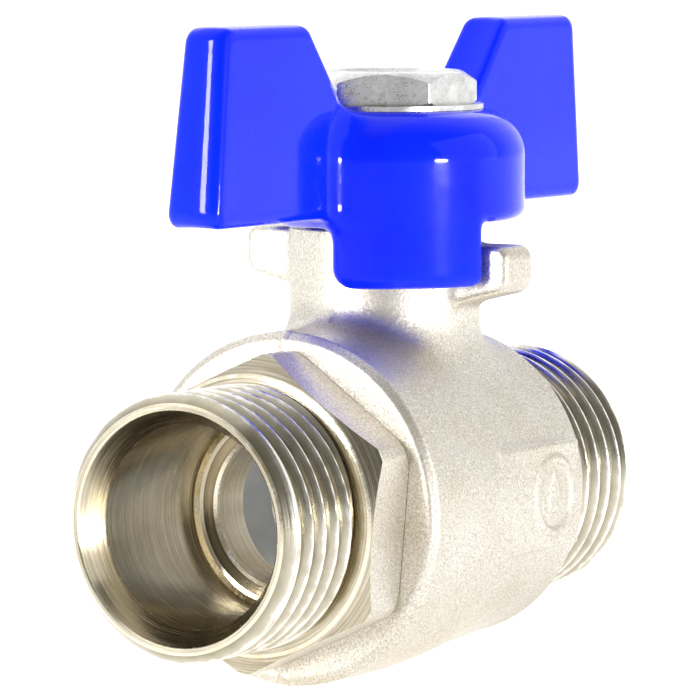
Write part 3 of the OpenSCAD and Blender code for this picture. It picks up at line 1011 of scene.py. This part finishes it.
# ---------------------------------------------------------------- handle, nut
def cap(x, y, z, rho):
    """The handle's rounded cap, and a quarter of its skirt that hangs down as the stop tab."""
    side = rho - (HUB_R - 0.05)
    low = TAB_BOTTOM - z
    tab = np.maximum(round_corner(x - TAB_X, low, 1.0), round_corner(y - TAB_Y, low, 1.7))
    under = join_smooth(HUB_UNDERSIDE - z, tab, 1.0)
    return np.maximum(round_corner(side, z - HUB_TOP, HUB_ROUND), round_corner(side, under, 1.0))


def wings(x, y, z):
    """Both wings: leaning outer ends, crowned edges, and a slope down to the hub."""
    soft = 1.25
    line = [(3, WING_BOTTOM), (WING_REACH, WING_BOTTOM), (WING_TOP_REACH, WING_TOP),
            (WING_INNER, WING_TOP), (WING_SLOPE_REACH, WING_SLOPE_Z), (3, WING_SLOPE_Z)]
    half = WING_HALF - WING_TAPER * (z - WING_BOTTOM)
    y = y + HANDLE_LEAN * np.maximum(z - 24, 0)
    crown = 0.42 * (y / half) ** 2
    flat = outline_distance(np.abs(x) + crown, z + 0.35 * crown, inset(line, soft)) - soft
    return pushed(flat, y, half, 0.75)


def handle_field(x, y, z):
    """Hub, wings and tab run together like dipped paint, hollow underneath."""
    rho = np.sqrt(x * x + y * y)
    whole = join_smooth(cap(x, y, z, rho), wings(x, y, z), 2.3)
    hollow = round_corner(rho - HOLLOW_R, z - HOLLOW_TOP, 0.8)
    whole = cut_smooth(whole, hollow, 0.5)
    return np.maximum(whole, STEM_HOLE_R - rho)


def make_handle():
    """The enamelled handle, as one closed skin."""
    step = 0.18
    low = [-WING_REACH - 0.8, -HUB_R - 0.8, TAB_BOTTOM - 0.8]
    high = [WING_REACH + 0.8, HUB_R + 0.8, WING_TOP + 0.8]
    vertices, faces = skin(handle_field, low, high, step)
    return smooth(new_object("handle_enamelled", vertices, faces.tolist(), [ENAMEL]), 50)


def make_nut():
    """A hexagon nut with turned chamfers, rounded corners and a hole bevelled at both faces."""
    base, top = NUT_LOW[2], NUT_HIGH[2]
    radius = NUT_AF / math.sqrt(3)
    outline = rounded_polygon(hexagon_corners(radius), 0.35)
    nut = prism("nut_hexagon", outline, top - base, [ZINC], (0, 0, base))
    line = Outline(base, 0).to(base, radius - 0.45).to(base + 0.25, radius - 0.06)
    line.to(top - 0.95, radius - 0.06).to(top - 0.85, radius - 0.10)
    line.to(top - 0.10, NUT_AF / 2 - 0.15).to(top, NUT_AF / 2 - 0.45).to(top, 0)
    combine(nut, turned("nut_chamfers", line, [ZINC], axis="z"), "INTERSECT")

    def bevelled(place):
        return NUT_HOLE_R + 0.75 * max(0, 1 - (top - place) / 0.55, 1 - (place - base) / 0.5)

    hole = Outline(base - 1, 0).to(base - 1, 4.5).to(base, 4.5)
    hole.threaded(base + 0.05, top - 0.05, bevelled, None, step=0.06)
    hole.to(top, 4.75).to(top + 1, 4.75).to(top + 1, 0)
    combine(nut, turned("nut_hole", hole, [ZINC], axis="z", segments=128), "DIFFERENCE")
    return smooth(nut, 25)


# ---------------------------------------------------------------- the model
def stand_for(piece, node, body):
    """The piece rides on a body, in a CAD node's place, and the CAD node is hidden."""
    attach(piece, body)
    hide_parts(node)


def finish_node(node, material):
    """A better material on a CAD node that stays."""
    piece = frame["nodes"][node]
    piece.data.materials.clear()
    piece.data.materials.append(material)


def build_model():
    """Every piece, each on its body, and the finishes of the CAD nodes that stay."""
    stand_for(make_body(), "valve_body", "body")
    stand_for(make_connector(), "end_connector", "body")
    stand_for(make_ball(), "ball", "ball")
    stand_for(make_seat("inlet_seat_ring", INLET_SEAT_BACK, -1), "inlet_seat", "body")
    stand_for(make_seat("outlet_seat_ring", OUTLET_SEAT_BACK, 1), "outlet_seat", "body")
    stand_for(make_stem(), "stem", "handle_stem")
    stand_for(make_handle(), "handle", "handle_stem")
    stand_for(make_nut(), "handle_nut", "handle_stem")
    finish_node("stem_thrust_washer", PALE_PLASTIC)
    finish_node("packing_ring", PALE_PLASTIC)
    finish_node("stem_oring", RUBBER)
    finish_node("gland_nut", BRASS)
    finish_node("flat_washer", ZINC)


# ---------------------------------------------------------------- floor, light and camera
def aim(thing, place, target):
    """Puts a light or camera at a place and turns it to a target."""
    thing.location = place
    thing.rotation_euler = (Vector(target) - Vector(place)).to_track_quat("-Z", "Y").to_euler()


def softbox(name, azimuth, elevation, width, height, radiance, shape="RECTANGLE"):
    """A soft light, with its face towards the valve, that the camera doesn't see."""
    light = bpy.data.lights.new(name, "AREA")
    light.shape = shape
    light.size, light.size_y = width, height
    light.energy = radiance * math.pi * width * height
    lamp = bpy.data.objects.new(name, light)
    bpy.context.scene.collection.objects.link(lamp)
    target = Vector((0, 0, 0.012))
    aim(lamp, target + direction(azimuth, elevation) * LIGHT_DISTANCE, target)
    lamp.visible_camera = False


def make_floor():
    """A wide pale floor just under the barrel."""
    low = min(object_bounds()[0][2] / MM, BODY_LOW[2]) - 0.05
    side, count = 6000, 12
    ticks = np.linspace(-side, side, count + 1)
    vertices = [(x, y, low) for x in ticks for y in ticks]
    row = count + 1
    faces = [(i * row + j, (i + 1) * row + j, (i + 1) * row + j + 1, i * row + j + 1)
             for i in range(count) for j in range(count)]
    floor = new_object("floor_painted_glow", vertices, faces, [floor_painted_glow()])


def make_world():
    """A pale studio that is darker on the side where the camera stands."""
    world = bpy.data.worlds.new("studio")
    bpy.context.scene.world = world
    world.use_nodes = True
    tree = world.node_tree
    background = tree.nodes["Background"]
    place = tree.nodes.new("ShaderNodeTexCoord")
    dot = tree.nodes.new("ShaderNodeVectorMath")
    dot.operation = "DOT_PRODUCT"
    dot.inputs[1].default_value = direction(-115, 5)
    tree.links.new(place.outputs["Generated"], dot.inputs[0])
    ramp = tree.nodes.new("ShaderNodeValToRGB")
    pale, dim = ramp.color_ramp.elements
    pale.position, pale.color = 0.0, (1.0, 1.0, 1.0, 1)
    dim.position, dim.color = 0.55, (0.22, 0.215, 0.20, 1)
    tree.links.new(dot.outputs["Value"], ramp.inputs["Fac"])
    tree.links.new(ramp.outputs["Color"], background.inputs["Color"])
    background.inputs["Strength"].default_value = 1.0


def make_lights():
    """A small bright spot, a tall strip on the left, and wide weak boxes right, above and behind."""
    softbox("spot_box", -102, 0, 0.19, 0.10, 70.0, "ELLIPSE")
    softbox("right_box", -72, 20, 1.00, 0.80, 1.0)
    softbox("strip_box", 166, 8, 0.11, 0.50, 42.0)
    softbox("top_box", 110, 70, 0.9, 0.9, 0.25)
    softbox("back_box", 40, 35, 0.8, 0.5, 0.8)


def make_camera():
    """The long lens that took the view: at the inlet's side, a little above the pipe."""
    camera = bpy.data.cameras.new("camera")
    camera.sensor_width = 36
    camera.lens = CAMERA_LENS
    camera.clip_start, camera.clip_end = 0.01, 50
    stand = bpy.data.objects.new("camera", camera)
    bpy.context.scene.collection.objects.link(stand)
    place = Vector(CAMERA_PLACE) * MM
    aim(stand, place, place + direction(CAMERA_YAW, CAMERA_PITCH))
    bpy.context.scene.camera = stand


build_model()
make_floor()
make_world()
make_lights()
make_camera()
bpy.context.scene.view_settings.view_transform = "Standard"
